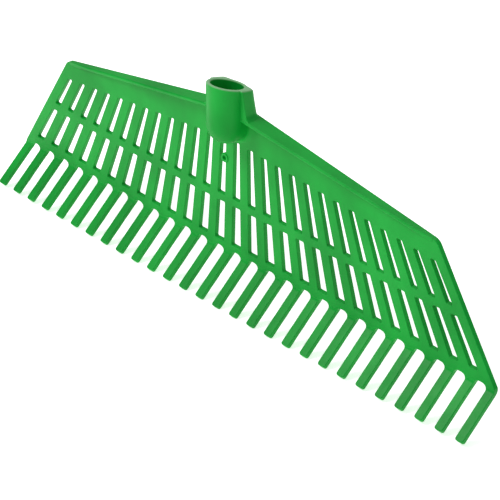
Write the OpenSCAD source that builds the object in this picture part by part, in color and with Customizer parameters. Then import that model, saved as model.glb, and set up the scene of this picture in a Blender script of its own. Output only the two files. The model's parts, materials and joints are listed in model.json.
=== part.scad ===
// Head of a moulded plastic leaf rake: a slotted panel whose fanned bars end in
// hooked tines, with a round socket for a wooden handle.
// Frame: the origin is the middle of the socket's mouth, +Z points up out of the
// socket, X runs along the width, and the tines reach towards -Y and down.
// The head is drawn flat first: x across, y up the panel from the tine roots,
// z out of the panel's front face. on_panel() then stands it up.

/* [Tines] */
// Number of tines
tine_count = 28; // [12:2:36]
// Distance between neighbouring tines
tine_pitch = 19.2; // [18:0.1:21]
// Width of a tine
tine_w = 7.4; // [6:0.1:8.4]
// Length of a tine's straight part
tine_len = 40.5; // [25:0.5:60]
// Angle that a tine is bent out of the panel
tine_bend = 49; // [30:0.5:80]
// Inner radius of that bend
bend_r = 4; // [3:0.5:7]
// Chamfer at a tine's tip
tip_chamfer = 0.8; // [0.3:0.1:1.2]

/* [Panel] */
// Thickness of the panel and of the tines
panel_t = 4; // [3:0.1:4.6]
// Width of a bar between two slots
bar_w = 8.8; // [7:0.1:10]
// Height above the tine roots at which the lines of the bars meet
fan_radius = 400; // [360:5:900]
// How far the outermost tine roots lie above the middle ones
root_rise = 2.6; // [0:0.2:6]
// How far the ends of the rows of slots lie above their middle
row_rise = 4.8; // [0:0.2:8]
// Height of the crossbar that joins the bars at the tine roots
low_bar_h = 6.4; // [5:0.2:10]
// Lower edge of the crossbar between the two rows of slots
mid_bar_v = 41; // [30:1:55]
// Height of that crossbar
mid_bar_h = 6.6; // [5:0.2:10]
// Top of the slots in the middle of the panel
slot_top_v = 97.5; // [80:0.5:110]
// Fall of the slot tops per millimetre towards the sides
slot_top_fall = 0.083; // [0.05:0.001:0.12]
// Top of the panel in the middle
top_v = 130; // [126:0.5:136]
// Fall of the panel's top edge per millimetre towards the sides
top_fall = 0.165; // [0.12:0.005:0.2]
// Radius of the panel's upper corners
corner_r = 9; // [4:1:14]

/* [Flange] */
// Depth of the flange beside the socket
flange_d = 12.5; // [8:0.5:18]
// Depth of the flange at its outer end
flange_end_d = 1.2; // [0.8:0.2:3]
// Thickness of the flange
flange_t = 3; // [2:0.5:4]

/* [Socket] */
// Diameter of the handle that the socket takes
bore_d = 25; // [22:0.5:28]
// Wall of the socket
socket_wall = 3.1; // [2.5:0.1:4]
// Depth of the bore
bore_depth = 37; // [30:1:40]
// Height of the mouth above the tine roots
mouth_v = 149.5; // [146:0.5:156]
// Distance of the socket's axis in front of the panel's front face
socket_out = 10; // [8:0.5:12]
// Tilt of the mouth, which stands higher at the front
mouth_tilt = 13; // [0:1:16]
// Half width of the webs beside the socket, at the mouth
web_x_top = 17.2; // [16.5:0.1:22]
// Half width of the webs at the flange
web_x_low = 22; // [21:0.5:28]
// How far the webs stand out of the panel's front face
web_d = 11; // [8:0.5:12]

/* [Gate boss] */
// Radius of the small boss left where the mould was filled
boss_r = 3.8; // [2.5:0.1:4.2]
// Distance of the boss from the middle of the panel
boss_x = -12.8; // [-14:0.1:-10]
// Height of the boss above the tine roots
boss_v = 80; // [70:1:85]
// How far the boss stands out of the front face
boss_out = 0.8; // [0.4:0.1:2]

/* [Hidden] */
$fn = 72;
plastic = "forestgreen";
arc_steps = 6;
corner_steps = 8;
mid_gap = tine_count / 2;
half_row = tine_pitch * (tine_count - 1) / 2;
socket_r = bore_d / 2 + socket_wall;
dome_z = socket_wall + 2 - bore_depth;
cut_size = 4 * socket_r;
tines = [for (i = [1 : tine_count]) i];
gaps = [for (i = [1 : tine_count - 1]) i];

function tine_name(i) = str("tine_", i < 10 ? "0" : "", i);

// Where tine i stands along the row, and how far its root and the slots beside it are lifted
function root_x(i) = (i - (tine_count + 1) / 2) * tine_pitch;
function root_v(i) = root_rise * pow(root_x(i) / half_row, 2);
function gap_middle(i) = (root_x(i) + root_x(i + 1)) / 2;
function low_v(i) = root_rise * pow(gap_middle(i) / half_row, 2);
function row_v(i) = row_rise * pow(gap_middle(i) / half_row, 2);

// An edge of bar i is the line x = start + slope * v; side is -1 or 1
function bar_slope(i) = -root_x(i) / fan_radius;
function bar_start(i, side) = root_x(i) + side * bar_w / 2 * sqrt(1 + pow(bar_slope(i), 2));
function bar_edge(i, side, v) = [bar_start(i, side) + bar_slope(i) * v, v];

// The point of that edge on a roof line that falls from v = peak on both sides
function on_roof(i, side, peak, fall) =
    let (s = sign(root_x(i)) * fall)
    bar_edge(i, side, (peak - s * bar_start(i, side)) / (1 + s * bar_slope(i)));

// Points of an arc of radius r that rounds the corner b of the path a, b, c
function rounded(a, b, c, r) =
    let (ab = (a - b) / norm(a - b), cb = (c - b) / norm(c - b), half = acos(ab * cb) / 2)
    let (mid = b + (ab + cb) / norm(ab + cb) * r / sin(half))
    let (from = b + ab * r / tan(half) - mid, to = b + cb * r / tan(half) - mid)
    let (start = atan2(from[1], from[0]), turn = 180 - 2 * half)
    let (way = sign(from[0] * to[1] - from[1] * to[0]))
    [for (k = [0 : corner_steps])
        mid + r * [cos(start + way * turn * k / corner_steps),
                   sin(start + way * turn * k / corner_steps)]];

// Stands the flat drawing up in the part's frame
module on_panel() {
    translate([0, socket_out, -mouth_v]) rotate([90, 0, 0]) children();
}

module panel_sheet() {
    translate([0, 0, -panel_t]) linear_extrude(panel_t) children();
}

module bar(i) {
    polygon([
        bar_edge(i, -1, root_v(i)), bar_edge(i, 1, root_v(i)),
        on_roof(i, 1, slot_top_v, slot_top_fall), on_roof(i, -1, slot_top_v, slot_top_fall)]);
}

module panel_bars(side) {
    color(plastic) on_panel() panel_sheet()
        for (i = tines) if (sign(root_x(i)) == side) bar(i);
}

// The short piece of a crossbar between bar i and the next, from height low up to height high
module crossbar_piece(i, low, high) {
    polygon([
        bar_edge(i, 1, low), bar_edge(i + 1, -1, low),
        bar_edge(i + 1, -1, high), bar_edge(i, 1, high)]);
}

module lower_crossbar() {
    color(plastic) on_panel() panel_sheet()
        for (i = gaps) crossbar_piece(i, low_v(i), low_bar_h + row_v(i));
}

module mid_crossbar() {
    color(plastic) on_panel() panel_sheet()
        for (i = gaps) crossbar_piece(i, mid_bar_v + row_v(i), mid_bar_v + mid_bar_h + row_v(i));
}

// The solid band above the slots, right half
module plate_outline() {
    low = on_roof(tine_count, 1, slot_top_v, slot_top_fall);
    high = on_roof(tine_count, 1, top_v, top_fall);
    polygon(concat([[0, slot_top_v], low], rounded(low, high, [0, top_v], corner_r), [[0, top_v]]));
}

// Outer shape of the socket: round in front, with straight sides back to the panel's front face
module socket_outside() {
    height = 2 * socket_r - dome_z;
    translate([0, 0, dome_z]) {
        cylinder(r = socket_r, h = height);
        sphere(r = socket_r);
        rotate([-90, 0, 0]) cylinder(r = socket_r, h = socket_out);
        translate([-socket_r, 0, 0]) cube([2 * socket_r, socket_out, height]);
    }
}

// Everything above the tilted mouth
module above_mouth() {
    rotate([-mouth_tilt, 0, 0]) translate([-cut_size / 2, -cut_size / 2, 0]) cube(cut_size);
}

module top_plate(side) {
    color(plastic) difference() {
        on_panel() panel_sheet() mirror([side < 0 ? 1 : 0, 0]) plate_outline();
        socket_outside();
    }
}

// A wall that stands on the front face along the top edge, deepest at the socket
module flange(side) {
    slant = atan(top_fall);
    run = (on_roof(tine_count, 1, top_v, top_fall)[0] - corner_r) / cos(slant);
    color(plastic) difference() {
        on_panel() mirror([side < 0 ? 1 : 0, 0, 0])
            translate([0, top_v, 0]) rotate([0, 0, -slant]) rotate([90, 0, 0])
            linear_extrude(flange_t)
            polygon([[0, 0], [run, 0], [run, flange_end_d], [0, flange_d]]);
        socket_outside();
    }
}

module handle_socket() {
    color(plastic) difference() {
        socket_outside();
        translate([0, 0, -bore_depth]) cylinder(r = bore_d / 2, h = bore_depth + 2 * socket_r);
        above_mouth();
    }
}

// A web beside the socket, from the top edge up to the mouth
module socket_web(side) {
    inside = socket_r / 3;
    above = mouth_v + socket_r;
    color(plastic) difference() {
        on_panel() mirror([side < 0 ? 1 : 0, 0, 0])
            translate([0, 0, -panel_t]) linear_extrude(panel_t + web_d) polygon([
                [inside, top_v - inside * top_fall], [web_x_low, top_v - web_x_low * top_fall],
                [web_x_top, above], [inside, above]]);
        socket_outside();
        above_mouth();
    }
}

module gate_boss() {
    color(plastic) on_panel() difference() {
        translate([boss_x, boss_v, -panel_t]) cylinder(r = boss_r, h = panel_t + boss_out);
        panel_sheet() {
            bar(mid_gap - 1);
            bar(mid_gap);
        }
    }
}

// Side view of a tine as [out of the front face, height], from its root to its tip
function bend_point(r, angle) = [bend_r - r * cos(angle), -r * sin(angle)];
function along_tine(point, far) = point + far * [sin(tine_bend), -cos(tine_bend)];
function tine_side() =
    let (front = bend_point(bend_r, tine_bend), back = bend_point(bend_r + panel_t, tine_bend))
    let (across = (back - front) / panel_t)
    concat(
        [for (k = [0 : arc_steps]) bend_point(bend_r, tine_bend * k / arc_steps)],
        [along_tine(front, tine_len - tip_chamfer), along_tine(front + across * tip_chamfer, tine_len),
         along_tine(back - across * tip_chamfer, tine_len), along_tine(back, tine_len - tip_chamfer)],
        [for (k = [arc_steps : -1 : 0]) bend_point(bend_r + panel_t, tine_bend * k / arc_steps)]);

module tine(i) {
    color(plastic) on_panel() translate([root_x(i), root_v(i), 0])
        rotate([0, -90, 0]) linear_extrude(tine_w, center = true) polygon(tine_side());
}

panel_bars(-1);  // panel_bars_left
panel_bars(1);  // panel_bars_right
lower_crossbar();
mid_crossbar();
top_plate(-1);  // top_plate_left
top_plate(1);  // top_plate_right
flange(-1);  // flange_left
flange(1);  // flange_right
handle_socket();
socket_web(-1);  // socket_web_left
socket_web(1);  // socket_web_right
gate_boss();
for (i = tines) tine(i);
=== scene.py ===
"""Looks of a moulded plastic leaf rake head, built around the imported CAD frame.

Lengths are in millimetres until place() turns them into metres in the part's frame.
A point is (u, v, n): u across the rake, v up from the middle tine roots, and n out of the
panel's front face. The sheet that makes the panel and the tines is drawn flat and then
folded at the tine roots.
"""

import json
import math

import bpy
from mathutils import Matrix, Vector
from mathutils.geometry import delaunay_2d_cdt

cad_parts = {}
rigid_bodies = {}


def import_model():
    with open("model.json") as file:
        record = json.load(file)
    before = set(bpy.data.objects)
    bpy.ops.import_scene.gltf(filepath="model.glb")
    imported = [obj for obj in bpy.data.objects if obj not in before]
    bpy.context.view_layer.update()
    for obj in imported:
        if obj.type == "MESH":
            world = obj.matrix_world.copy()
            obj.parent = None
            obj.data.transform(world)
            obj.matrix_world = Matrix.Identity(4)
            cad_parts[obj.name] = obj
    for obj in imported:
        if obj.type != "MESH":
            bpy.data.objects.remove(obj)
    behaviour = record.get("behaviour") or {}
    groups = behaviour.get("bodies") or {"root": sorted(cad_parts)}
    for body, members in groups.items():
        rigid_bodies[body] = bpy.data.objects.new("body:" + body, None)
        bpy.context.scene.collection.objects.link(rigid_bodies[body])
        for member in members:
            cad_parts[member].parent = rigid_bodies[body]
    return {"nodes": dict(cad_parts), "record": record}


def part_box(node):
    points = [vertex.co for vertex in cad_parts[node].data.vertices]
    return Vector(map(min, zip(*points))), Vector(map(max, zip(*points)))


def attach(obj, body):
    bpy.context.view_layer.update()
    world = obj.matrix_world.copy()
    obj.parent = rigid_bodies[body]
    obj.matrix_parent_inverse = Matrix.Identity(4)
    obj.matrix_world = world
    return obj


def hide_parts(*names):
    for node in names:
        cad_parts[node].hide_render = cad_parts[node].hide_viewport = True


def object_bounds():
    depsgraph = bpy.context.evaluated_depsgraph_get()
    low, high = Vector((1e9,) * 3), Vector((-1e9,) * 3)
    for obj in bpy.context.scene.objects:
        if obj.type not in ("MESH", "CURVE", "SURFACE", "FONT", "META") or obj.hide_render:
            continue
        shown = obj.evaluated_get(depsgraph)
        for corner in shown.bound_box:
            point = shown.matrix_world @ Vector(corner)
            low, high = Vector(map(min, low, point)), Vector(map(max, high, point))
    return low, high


MM = 0.001
TINY = 1e-6

# The panel's pattern, with the dimensions of the CAD part
BAR_W = 8.8
FAN_RADIUS = 400
ROW_RISE = 4.8
LOW_BAR_H = 6.4
MID_BAR_V = 41
MID_BAR_H = 6.6
SLOT_TOP_V = 97.5
SLOT_TOP_FALL = 0.083
TOP_V = 130
TOP_FALL = 0.165
CORNER_R = 9
SLOT_CORNER_R = 0.9
EDGE_R = 0.5
EDGE_STEPS = 3
ARC_STEPS = 7

# The tines
TINE_BEND = math.radians(49)
BEND_R = 4
BEND_STEPS = 8
TINE_LEN = 40.5
TIP_R = 1.9
ARCH_R = 5
# How far above the roots the arches between the tines end, and the tines' pieces are cut off
ARCH_LIFT = 0.8
CUT_LIFT = 0.4
# A fold level that crosses the outline nearer than this to a point uses that point
SNAP = 0.15

# The flange along the top edge
FLANGE_D = 12.5
FLANGE_END_D = 1.2
FLANGE_T = 3
FLANGE_FILLET = 2.4
FLANGE_EDGE_R = 1.25
FLANGE_STATIONS = 40
FLANGE_ARC_STEPS = 6
STATION_POWER = 0.8
# How the flange ends: short of the corner, running out quickly to a least depth
FLANGE_SHORT = CORNER_R * 0.4
RUN_OUT_RATE = 12
FLANGE_LEAST_D = 0.15
# The largest share of the flange's depth that its fillet and its rounded edge take
FILLET_SHARE = 0.55
EDGE_SHARE = 0.44
# How far its top covers the panel's edge, and how deep hidden sides reach into the panel
PROUD = 0.04
EMBED = 1.7

# The socket
SOCKET_WALL = 3.1
BORE_DEPTH = 37
MOUTH_TILT = math.radians(13)
WEB_X_TOP = 17.2
WEB_X_LOW = 22
WEB_D = 11
# How softly the webs' front and back faces turn into their sides
WEB_FRONT_SOFT = 1.6
WEB_BACK_SOFT = 6
WEB_FOOT_R = 3
WEB_BACK_GAP = 0.1
WEB_ROWS = 14
WEB_END_DROP = 0.6
DOME_LIFT = SOCKET_WALL + 2
AROUND = 256
# Small gaps that keep the points of a ring apart where it closes on the axis
CENTRE_R = 0.02
POLE_GAP = 0.001
FLOOR_R = 1.5
LIP_R = 1.1
RIM_R = 1.3
BODY_SOFT = 0.7
BODY_DROP = 2
BODY_ROWS = 4
DOME_STEPS = 24
SMALL_ARC_STEPS = 5
# The fillet where the socket stands on the panel
FOOT_FILLET = 4
FOOT_STEPS = 48
FOOT_ARC_STEPS = 8
# How deep the hidden sides of that fillet reach into the panel and the socket
SUNK = 1

# The gate boss
BOSS_U = -12.8
BOSS_V = 80
BOSS_R = 3.8
BOSS_OUT = 0.8
BOSS_EDGE_R = 0.6
BOSS_BACK_R = 0.5
BOSS_AROUND = 48
PIT_R = 1.6
PIT_DEPTH = 1.8
PIT_EDGE_R = 0.4
PIT_MOUTH_R = 2.3

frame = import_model()
cad_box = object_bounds()

bar_low, bar_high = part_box("lower_crossbar")
PANEL_T = (bar_high.y - bar_low.y) / MM
SOCKET_OUT = bar_low.y / MM
MOUTH_V = -bar_low.z / MM
TINES = sorted(name for name in frame["nodes"] if name.startswith("tine_"))
TINE_X = [(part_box(name)[0].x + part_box(name)[1].x) / 2 / MM for name in TINES]
ROOT_V = [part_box(name)[1].z / MM + MOUTH_V for name in TINES]
TINE_W = (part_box(TINES[0])[1].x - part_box(TINES[0])[0].x) / MM
HALF_ROW = TINE_X[-1]
BORE = next(m for m in frame["record"]["mounts"] if m["name"] == "handle_socket")["dims"]
BORE_R = BORE["r_mm"]
SOCKET_R = BORE_R + SOCKET_WALL
DOME_V = MOUTH_V - BORE_DEPTH + DOME_LIFT
WEB_FOOT_V = TOP_V - WEB_X_LOW * TOP_FALL


def place(u, v, n):
    return Vector((u, SOCKET_OUT - n, v - MOUTH_V)) * MM


def mix(a, b, share):
    return a + (b - a) * share


def quarter_turn(steps):
    """Angles from 0 to a right angle, in equal steps."""
    return [math.pi / 2 * k / steps for k in range(steps + 1)]


def make_piece(name, points, faces, replaced, sharp=40):
    """A mesh piece from points in metres, smooth except at edges sharper than the given angle."""
    used = sorted({k for face in faces for k in face})
    order = {k: position for position, k in enumerate(used)}
    mesh = bpy.data.meshes.new(name)
    mesh.from_pydata([points[k] for k in used], [], [[order[k] for k in face] for face in faces])
    mesh.shade_smooth()
    mesh.set_sharp_from_angle(angle=math.radians(sharp))
    piece = bpy.data.objects.new(name, mesh)
    bpy.context.scene.collection.objects.link(piece)
    weighted = piece.modifiers.new("weighted_normals", "WEIGHTED_NORMAL")
    weighted.keep_sharp = True
    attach(piece, "root")
    if replaced:
        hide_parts(*replaced)


# ---- the flat sheet: panel and tines ----

def gap_lift(k, rise):
    """How far something of the gap after tine k is lifted above the middle of its row."""
    return rise * ((TINE_X[k] + TINE_X[k + 1]) / 2 / HALF_ROW) ** 2


def bar_start(k, side):
    return TINE_X[k] + side * BAR_W / 2 * math.hypot(1, TINE_X[k] / FAN_RADIUS)


def bar_edge(k, side, v):
    return Vector((bar_start(k, side) - TINE_X[k] / FAN_RADIUS * v, v))


def on_roof(k, side, peak, fall):
    """The point of a bar's edge on a roof line that falls from peak on both sides."""
    fall = math.copysign(fall, TINE_X[k])
    v = (peak - fall * bar_start(k, side)) / (1 - fall * TINE_X[k] / FAN_RADIUS)
    return bar_edge(k, side, v)


def arc_corner(a, b, c, radius):
    """Points that round the corner b of the path a, b, c."""
    if radius == 0:
        return [b]
    to_a, to_c = (a - b).normalized(), (c - b).normalized()
    half = to_a.angle(to_c) / 2
    middle = b + (to_a + to_c).normalized() * radius / math.sin(half)
    first = b + to_a * radius / math.tan(half) - middle
    last = b + to_c * radius / math.tan(half) - middle
    turn = math.copysign(math.pi - 2 * half, first.x * last.y - first.y * last.x)
    return [middle + Matrix.Rotation(turn * k / ARC_STEPS, 2) @ first for k in range(ARC_STEPS + 1)]


def rounded_outline(corners):
    outline = []
    for k, (point, radius) in enumerate(corners):
        outline += arc_corner(corners[k - 1][0], point, corners[(k + 1) % len(corners)][0], radius)
    return outline


def tine_corners(k):
    """Down one side of tine k, round its tip and up to the arch beside the next tine."""
    left, right = TINE_X[k] - TINE_W / 2, TINE_X[k] + TINE_W / 2
    tip = ROOT_V[k] - BEND_R * TINE_BEND - TINE_LEN
    corners = [(Vector((left, tip)), TIP_R), (Vector((right, tip)), TIP_R)]
    if k < len(TINES) - 1:
        arch = gap_lift(k, ROOT_V[0]) + ARCH_LIFT
        corners += [(Vector((right, arch)), ARCH_R),
                    (Vector((TINE_X[k + 1] - TINE_W / 2, arch)), ARCH_R)]
    return corners


def shoulder(k, side):
    """Where the panel's outer edge meets the outer side of the outermost tine."""
    u = TINE_X[k] + side * TINE_W / 2
    v = (bar_start(k, side) - u) * FAN_RADIUS / TINE_X[k]
    return Vector((u, v))


def sheet_outline():
    last = len(TINES) - 1
    corners = [(Vector((0, TOP_V)), 0),
               (on_roof(0, -1, TOP_V, TOP_FALL), CORNER_R),
               (shoulder(0, -1), ARCH_R)]
    for k in range(len(TINES)):
        corners += tine_corners(k)
    corners += [(shoulder(last, 1), ARCH_R),
                (on_roof(last, 1, TOP_V, TOP_FALL), CORNER_R)]
    return rounded_outline(corners)


def slot_outlines():
    """The slots of both rows, each drawn clockwise."""
    slots = []
    for k in range(len(TINES) - 1):
        lift = gap_lift(k, ROW_RISE)
        low, high = LOW_BAR_H + lift, MID_BAR_V + lift
        slots.append([bar_edge(k, 1, low), bar_edge(k, 1, high),
                      bar_edge(k + 1, -1, high), bar_edge(k + 1, -1, low)])
        low = MID_BAR_V + MID_BAR_H + lift
        slots.append([bar_edge(k, 1, low), on_roof(k, 1, SLOT_TOP_V, SLOT_TOP_FALL),
                      on_roof(k + 1, -1, SLOT_TOP_V, SLOT_TOP_FALL), bar_edge(k + 1, -1, low)])
    return [rounded_outline([(p, SLOT_CORNER_R) for p in slot]) for slot in slots]


def nearest_tine(u):
    return min(range(len(TINES)), key=lambda k: abs(TINE_X[k] - u))


def fold_levels(k):
    """Heights at which the sheet is divided across tine k: the cut above its root and its bend."""
    length = BEND_R * TINE_BEND
    return [ROOT_V[k] + CUT_LIFT] + [ROOT_V[k] - length * step / BEND_STEPS
                                     for step in range(BEND_STEPS + 1)]


def divide_at_levels(outline):
    """The outline with a point wherever it crosses a fold level, and those points by level."""
    divided, crossings = [], {}
    for position, point in enumerate(outline):
        divided.append(point)
        end = outline[(position + 1) % len(outline)]
        shares = []
        for k in {nearest_tine(point.x), nearest_tine(end.x)}:
            for level, height in enumerate(fold_levels(k)):
                if (point.y - height) * (end.y - height) < 0:
                    share = (height - point.y) / (end.y - point.y)
                    if nearest_tine(mix(point.x, end.x, share)) == k:
                        shares.append((share, k, level))
        start = len(divided) - 1
        for share, k, level in sorted(shares):
            at = point.lerp(end, share)
            index = start if (at - point).length < SNAP else len(divided)
            crossings.setdefault((k, level), []).append(index)
            if index > start and (at - end).length >= SNAP:
                divided.append(at)
    return divided, crossings


def edge_layers():
    """(inset, depth) of the layers that round the sheet's edge from its front to its back."""
    front = [(EDGE_R * (1 - math.sin(a)), EDGE_R * (1 - math.cos(a)))
             for a in quarter_turn(EDGE_STEPS)]
    return front + [(inset, PANEL_T - depth) for inset, depth in reversed(front)]


def into_material(loop):
    """For each point of a loop, the step that moves its two edges 1 mm into the material."""
    steps = []
    for position, point in enumerate(loop):
        before = (point - loop[position - 1]).normalized()
        after = (loop[(position + 1) % len(loop)] - point).normalized()
        left_a, left_b = Vector((-before.y, before.x)), Vector((-after.y, after.x))
        steps.append((left_a + left_b) / (1 + left_a.dot(left_b)))
    return steps


def folded(u, v, depth):
    """Puts a point of the flat sheet in its place, bent forward below its tine's root."""
    below = ROOT_V[nearest_tine(u)] - v
    if below <= 0:
        return place(u, v, -depth)
    angle = min(below / BEND_R, TINE_BEND)
    straight = max(below - BEND_R * TINE_BEND, 0)
    out = BEND_R - (BEND_R + depth) * math.cos(angle) + straight * math.sin(TINE_BEND)
    down = (BEND_R + depth) * math.sin(angle) + straight * math.cos(TINE_BEND)
    return place(u, v + below - down, out)


def make_sheet():
    """The slotted panel and the tines, cut apart just above the tine roots."""
    outline, crossings = divide_at_levels(sheet_outline())
    loops = [outline] + slot_outlines()
    flat, steps, following, loop_of = [], [], [], []
    for number, loop in enumerate(loops):
        first = len(flat)
        following += [first + (k + 1) % len(loop) for k in range(len(loop))]
        loop_of += [number] * len(loop)
        flat += loop
        steps += into_material(loop)
    layers = edge_layers()
    count = len(flat)
    inset_flat = [[p + s * inset for p, s in zip(flat, steps)] for inset, _ in layers]
    points = [folded(p.x, p.y, depth) for row, (_, depth) in zip(inset_flat, layers) for p in row]

    def owner(corners):
        """The tine that a face belongs to, or None for the panel."""
        middle = sum((flat[k] for k in corners), Vector((0, 0))) / len(corners)
        k = nearest_tine(middle.x)
        return k if middle.y < ROOT_V[k] + CUT_LIFT else None

    faces = {}
    edges = [(k, following[k]) for k in range(count)] + [tuple(pair) for pair in crossings.values()]
    _, _, triangles, origin, _, _ = delaunay_2d_cdt(inset_flat[0], edges, [], 1, TINY)
    back = (len(layers) - 1) * count
    for triangle in triangles:
        corners = [origin[k][0] for k in triangle]
        same_loop = len({loop_of[k] for k in corners}) == 1
        if same_loop and loop_of[corners[0]] > 0:
            continue
        own = faces.setdefault(owner(corners), [])
        own.append(corners)
        own.append([back + k for k in reversed(corners)])
    for k in range(count):
        own = faces.setdefault(owner([k, following[k]]), [])
        for layer in range(len(layers) - 1):
            near, far = layer * count, (layer + 1) * count
            own.append([near + k, far + k, far + following[k], near + following[k]])
    for k in range(len(TINES)):
        left, right = crossings[(k, 0)]
        cap = [left + layer * count for layer in range(len(layers))]
        cap += [right + layer * count for layer in reversed(range(len(layers)))]
        faces[k].append(cap)
        faces[None].append(cap[::-1])
    make_piece("slotted_panel", points, faces[None],
               ["panel_bars_left", "panel_bars_right", "lower_crossbar", "mid_crossbar",
                "top_plate_left", "top_plate_right"])
    for k, name in enumerate(TINES):
        make_piece("moulded_" + name, points, faces[k], [name])


# ---- flange ----

def tube_faces(rows, columns):
    """Quads between rings of points, given one after another, and a cap on each end."""
    faces = [[row * columns + k, row * columns + (k + 1) % columns,
              (row + 1) * columns + (k + 1) % columns, (row + 1) * columns + k]
             for row in range(rows - 1) for k in range(columns)]
    faces.append(list(range(columns))[::-1])
    faces.append([(rows - 1) * columns + k for k in range(columns)])
    return faces


def flange_depth(share):
    """How far the flange stands out, at a share of its run from the socket to the corner."""
    ease = min(1, (1 - share) * RUN_OUT_RATE) ** 0.5
    return max(mix(FLANGE_D, FLANGE_END_D, share) * ease, FLANGE_LEAST_D)


def flange_section(depth):
    """(n, w) round the flange: w is measured down from the top edge."""
    fillet = min(FLANGE_FILLET, depth * FILLET_SHARE)
    edge = min(FLANGE_EDGE_R, depth * EDGE_SHARE)
    quarter = quarter_turn(FLANGE_ARC_STEPS)
    section = [(-EMBED, FLANGE_T + fillet)]
    section += [(fillet * (1 - math.cos(a)), FLANGE_T + fillet * (1 - math.sin(a))) for a in quarter]
    section += [(depth - edge * (1 - math.sin(a)), FLANGE_T - edge * (1 - math.cos(a)))
                for a in quarter]
    section += [(depth - edge * (1 - math.cos(a)), edge * (1 - math.sin(a)) - PROUD) for a in quarter]
    return section + [(-EMBED, -PROUD)]


def make_flange(side):
    slant = math.atan(TOP_FALL)
    run = on_roof(len(TINES) - 1, 1, TOP_V, TOP_FALL).x - FLANGE_SHORT
    points = []
    for station in range(FLANGE_STATIONS + 1):
        share = (station / FLANGE_STATIONS) ** STATION_POWER
        u = run * share
        for n, w in flange_section(flange_depth(share)):
            points.append(place(side * (u - w * math.sin(slant)),
                                TOP_V - u * TOP_FALL - w * math.cos(slant), n))
    columns = len(points) // (FLANGE_STATIONS + 1)
    faces = tube_faces(FLANGE_STATIONS + 1, columns)
    if side < 0:
        faces = [face[::-1] for face in faces]
    name = "flange_left" if side < 0 else "flange_right"
    make_piece("moulded_" + name, points, faces, [name])


# ---- socket ----

def smooth_max(a, b, softness):
    return (a + b + math.hypot(a - b, softness)) / 2


def smooth_min(a, b, softness):
    return (a + b - math.hypot(a - b, softness)) / 2


def body_radius(angle, slope=0):
    """Distance from the axis to the socket's outside: round in front, straight flanks behind."""
    across = abs(math.cos(angle)) * math.cos(slope)
    out = math.sin(angle) * math.cos(slope)
    if out >= 0:
        return SOCKET_R
    flank = SOCKET_R / math.hypot(across, math.sin(slope))
    return max(SOCKET_R, min(flank, (SOCKET_OUT + EMBED) / -out))


def web_radius(angle, half_width):
    """Distance from the axis to the outside of the webs at one height."""
    across, out = max(abs(math.cos(angle)), TINY), math.sin(angle)
    if out > 0:
        return smooth_min(half_width / across, (WEB_D - SOCKET_OUT) / max(out, TINY), WEB_FRONT_SOFT)
    back = SOCKET_OUT + PANEL_T - WEB_BACK_GAP
    return smooth_min(half_width / across, back / max(-out, TINY), WEB_BACK_SOFT)


def web_half_width(v):
    width = mix(WEB_X_LOW, WEB_X_TOP, (v - WEB_FOOT_V) / (MOUTH_V - WEB_FOOT_V))
    rise = min(max(v - WEB_FOOT_V, 0), WEB_FOOT_R)
    return width + WEB_FOOT_R - math.sqrt(WEB_FOOT_R ** 2 - (WEB_FOOT_R - rise) ** 2)


def outer_rows():
    """(height, inset, how much of the mouth's tilt and of the flange's fall it follows)."""
    rows = [(MOUTH_V - RIM_R * (1 - math.cos(a)), RIM_R * (1 - math.sin(a)), 1, 0)
            for a in quarter_turn(SMALL_ARC_STEPS)]
    start = MOUTH_V - RIM_R
    for k in range(1, WEB_ROWS + 1):
        share = k / WEB_ROWS
        rows.append((mix(start, WEB_FOOT_V - WEB_END_DROP, share), 0, 1 - share, share ** 2))
    return rows


def make_socket():
    """The socket with its bore, its domed foot and the webs beside it, as rings round its axis."""
    angles = [2 * math.pi * k / AROUND for k in range(AROUND)]
    tan_tilt = math.tan(MOUTH_TILT)
    points = []

    def ring(radius_at, height_at):
        for angle in angles:
            radius = radius_at(angle)
            u, n = radius * math.cos(angle), SOCKET_OUT + radius * math.sin(angle)
            points.append(place(u, height_at(u, n), n))

    turns = quarter_turn(SMALL_ARC_STEPS)
    ring(lambda a: CENTRE_R, lambda u, n: MOUTH_V - BORE_DEPTH)
    for b in turns:
        ring(lambda a: BORE_R - FLOOR_R * (1 - math.sin(b)),
             lambda u, n: MOUTH_V - BORE_DEPTH + FLOOR_R * (1 - math.cos(b)))
    for b in turns:
        ring(lambda a: BORE_R + LIP_R * (1 - math.cos(b)),
             lambda u, n: MOUTH_V - LIP_R * (1 - math.sin(b)) + (n - SOCKET_OUT) * tan_tilt)
    for v, inset, tilt, fall in outer_rows():
        width = web_half_width(v)
        ring(lambda a: smooth_max(body_radius(a), web_radius(a, width), BODY_SOFT) - inset,
             lambda u, n: v + tilt * (n - SOCKET_OUT) * tan_tilt
             - fall * TOP_FALL * (abs(u) - WEB_X_LOW))
    for k in range(BODY_ROWS + 1):
        ring(body_radius, lambda u, n: mix(WEB_FOOT_V - BODY_DROP, DOME_V, k / BODY_ROWS))
    for slope in quarter_turn(DOME_STEPS)[1:-1] + [math.pi / 2 - POLE_GAP]:
        for angle in angles:
            reach = body_radius(angle, slope)
            u = reach * math.cos(slope) * math.cos(angle)
            n = SOCKET_OUT + reach * math.cos(slope) * math.sin(angle)
            points.append(place(u, DOME_V - reach * math.sin(slope), n))
    make_piece("moulded_handle_socket", points, tube_faces(len(points) // AROUND, AROUND),
               ["handle_socket", "socket_web_left", "socket_web_right"], sharp=60)


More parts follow.
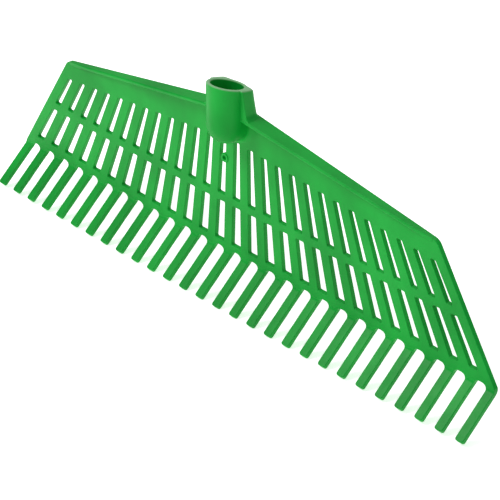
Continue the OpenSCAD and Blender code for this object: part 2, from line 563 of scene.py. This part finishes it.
def make_socket_fillet():
    """The rounded inside corner where the socket stands on the panel."""
    top = TOP_V - SOCKET_R * TOP_FALL - FLANGE_T / 2
    path = [(Vector((-SOCKET_R, top)), Vector((-1, 0)))]
    for k in range(FOOT_STEPS + 1):
        angle = math.pi * (1 + k / FOOT_STEPS)
        out = Vector((math.cos(angle), math.sin(angle)))
        path.append((Vector((0, DOME_V)) + out * SOCKET_R, out))
    path.append((Vector((SOCKET_R, top)), Vector((1, 0))))
    section = [(-SUNK, -SUNK), (FOOT_FILLET, -SUNK)]
    section += [(FOOT_FILLET * (1 - math.sin(a)), FOOT_FILLET * (1 - math.cos(a)))
                for a in quarter_turn(FOOT_ARC_STEPS)]
    section.append((-SUNK, FOOT_FILLET))
    points = [place(*(p + out * away), n) for p, out in path for away, n in section]
    make_piece("socket_foot_fillet", points, tube_faces(len(path), len(section)), [])


# ---- gate boss ----

def make_gate_boss():
    """A round boss at one slot, with a sunken middle left by the mould's gate."""
    quarter = quarter_turn(SMALL_ARC_STEPS)
    profile = [(CENTRE_R, BOSS_OUT - PIT_DEPTH), (PIT_R, BOSS_OUT - PIT_DEPTH)]
    profile += [(PIT_MOUTH_R - PIT_EDGE_R * math.cos(a), BOSS_OUT - PIT_EDGE_R * (1 - math.sin(a)))
                for a in quarter]
    profile += [(BOSS_R - BOSS_EDGE_R * (1 - math.sin(a)), BOSS_OUT - BOSS_EDGE_R * (1 - math.cos(a)))
                for a in quarter]
    profile += [(BOSS_R - BOSS_BACK_R * (1 - math.cos(a)), BOSS_BACK_R * (1 - math.sin(a)) - PANEL_T)
                for a in quarter]
    profile += [(CENTRE_R, -PANEL_T)]
    points = []
    for radius, n in profile:
        for k in range(BOSS_AROUND):
            angle = 2 * math.pi * k / BOSS_AROUND
            u, v = radius * math.cos(angle), radius * math.sin(angle)
            points.append(place(BOSS_U + u, BOSS_V + v, n))
    faces = [face[::-1] for face in tube_faces(len(profile), BOSS_AROUND)]
    make_piece("moulded_gate_boss", points, faces, ["gate_boss"])


# ---- material ----

def green_plastic():
    """Satin moulded polypropylene with faint flow marks, a fine skin and a paler green towards the
    mouth's rim.
    """
    material = bpy.data.materials.new("green_plastic")
    material.use_nodes = True
    nodes, links = material.node_tree.nodes, material.node_tree.links
    shader = nodes["Principled BSDF"]
    shader.inputs["IOR"].default_value = 1.49
    shader.inputs["Specular IOR Level"].default_value = 0.15
    place_node = nodes.new("ShaderNodeTexCoord")

    def noise(scale, detail, stretch=(1, 1, 1)):
        mapping = nodes.new("ShaderNodeMapping")
        mapping.inputs["Scale"].default_value = stretch
        texture = nodes.new("ShaderNodeTexNoise")
        texture.inputs["Scale"].default_value = scale
        texture.inputs["Detail"].default_value = detail
        links.new(place_node.outputs["Object"], mapping.inputs["Vector"])
        links.new(mapping.outputs["Vector"], texture.inputs["Vector"])
        return texture.outputs["Fac"]

    def ramp(source, low, high, start=0.35, end=0.65):
        node = nodes.new("ShaderNodeValToRGB")
        node.color_ramp.elements[0].position = start
        node.color_ramp.elements[1].position = end
        node.color_ramp.elements[0].color = low
        node.color_ramp.elements[1].color = high
        links.new(source, node.inputs["Fac"])
        return node.outputs["Color"]

    cloud = ramp(noise(22, 3), (0.002, 0.310, 0.030, 1), (0.006, 0.400, 0.042, 1))
    flow = ramp(noise(60, 4, (1, 1, 0.18)), (0.86, 0.86, 0.86, 1), (1, 1, 1, 1), 0.3, 0.6)
    tint = nodes.new("ShaderNodeMix")
    tint.data_type = "RGBA"
    tint.blend_type = "MULTIPLY"
    tint.inputs["Factor"].default_value = 0.6
    links.new(cloud, tint.inputs["A"])
    links.new(flow, tint.inputs["B"])

    # A paler green is mixed into the colour towards the mouth's rim, by height along the socket's
    # axis.
    height = nodes.new("ShaderNodeVectorMath")
    height.operation = "DOT_PRODUCT"
    height.inputs[1].default_value = (0, math.sin(MOUTH_TILT), math.cos(MOUTH_TILT))
    links.new(place_node.outputs["Object"], height.inputs[0])
    rim = nodes.new("ShaderNodeMapRange")
    rim.inputs["From Min"].default_value = -1.2 * MM
    rim.inputs["From Max"].default_value = -0.2 * MM
    links.new(height.outputs["Value"], rim.inputs["Value"])
    paler_rim = nodes.new("ShaderNodeMix")
    paler_rim.data_type = "RGBA"
    paler_rim.inputs["B"].default_value = (0.24, 0.50, 0.25, 1)
    links.new(rim.outputs["Result"], paler_rim.inputs["Factor"])
    links.new(tint.outputs["Result"], paler_rim.inputs["A"])
    links.new(paler_rim.outputs["Result"], shader.inputs["Base Color"])

    gloss = nodes.new("ShaderNodeMapRange")
    gloss.inputs["To Min"].default_value = 0.30
    gloss.inputs["To Max"].default_value = 0.46
    links.new(noise(140, 5), gloss.inputs["Value"])
    links.new(gloss.outputs["Result"], shader.inputs["Roughness"])

    skin = nodes.new("ShaderNodeBump")
    skin.inputs["Strength"].default_value = 0.12
    skin.inputs["Distance"].default_value = 0.00015
    links.new(noise(1400, 3), skin.inputs["Height"])
    wave = nodes.new("ShaderNodeBump")
    wave.inputs["Strength"].default_value = 0.25
    wave.inputs["Distance"].default_value = 0.0006
    links.new(noise(38, 2), wave.inputs["Height"])
    links.new(skin.outputs["Normal"], wave.inputs["Normal"])
    links.new(wave.outputs["Normal"], shader.inputs["Normal"])
    return material


# ---- stage ----

def floor_material():
    material = bpy.data.materials.new("pale_floor")
    material.use_nodes = True
    shader = material.node_tree.nodes["Principled BSDF"]
    shader.inputs["Base Color"].default_value = (0.93, 0.93, 0.93, 1)
    shader.inputs["Roughness"].default_value = 0.9
    shader.inputs["Specular IOR Level"].default_value = 0.1
    shader.inputs["Emission Color"].default_value = (1, 1, 1, 1)
    shader.inputs["Emission Strength"].default_value = 0.65
    return material


def make_floor():
    half = 6
    height = cad_box[0][2]
    mesh = bpy.data.meshes.new("floor")
    mesh.from_pydata([(-half, -half, height), (half, -half, height),
                      (half, half, height), (-half, half, height)], [], [(0, 1, 2, 3)])
    floor = bpy.data.objects.new("floor", mesh)
    bpy.context.scene.collection.objects.link(floor)
    mesh.materials.append(floor_material())


def turned_to(azimuth, elevation, roll=0):
    """Right, up and back directions of something that looks at the part from these angles."""
    a, e, r = (math.radians(value) for value in (azimuth, elevation, roll))
    back = Vector((math.sin(a) * math.cos(e), -math.cos(a) * math.cos(e), math.sin(e)))
    level = Vector((math.cos(a), math.sin(a), 0))
    up = back.cross(level)
    return level * math.cos(r) + up * math.sin(r), up * math.cos(r) - level * math.sin(r), back


def stand(data, name, aim, distance, azimuth, elevation, roll=0):
    right, up, back = turned_to(azimuth, elevation, roll)
    thing = bpy.data.objects.new(name, data)
    bpy.context.scene.collection.objects.link(thing)
    place_at = Matrix((right, up, back)).transposed().to_4x4()
    place_at.translation = Vector(aim) + back * distance
    thing.matrix_world = place_at
    return thing


def make_camera():
    data = bpy.data.cameras.new("camera")
    data.sensor_width = 36
    data.lens = 144
    data.clip_end = 50
    camera = stand(data, "camera", aim=(0.0421, -0.0153, -0.1177), distance=1.5,
                   azimuth=46.1, elevation=30.07, roll=0.54)
    bpy.context.scene.camera = camera


def make_light(name, power, size, azimuth, elevation, distance=2.2):
    data = bpy.data.lights.new(name, "AREA")
    data.shape = "DISK"
    data.size = size
    data.energy = power
    stand(data, name, (0, 0, -0.1), distance, azimuth, elevation)


def make_lights():
    make_light("key", power=24, size=1.0, azimuth=-35, elevation=50)
    make_light("fill", power=4, size=2.4, azimuth=70, elevation=40)
    make_light("rim", power=10, size=1.6, azimuth=190, elevation=60)
    world = bpy.data.worlds.new("world")
    world.use_nodes = True
    backdrop = world.node_tree.nodes["Background"]
    backdrop.inputs["Color"].default_value = (1, 1, 1, 1)
    backdrop.inputs["Strength"].default_value = 0.3
    bpy.context.scene.world = world
    bpy.context.scene.view_settings.view_transform = "Standard"


make_camera()
make_sheet()
for flange_side in (-1, 1):
    make_flange(flange_side)
make_socket()
make_socket_fillet()
make_gate_boss()
plastic = green_plastic()
for shown in bpy.context.scene.objects:
    if shown.type == "MESH":
        shown.data.materials.clear()
        shown.data.materials.append(plastic)
make_floor()
make_lights()
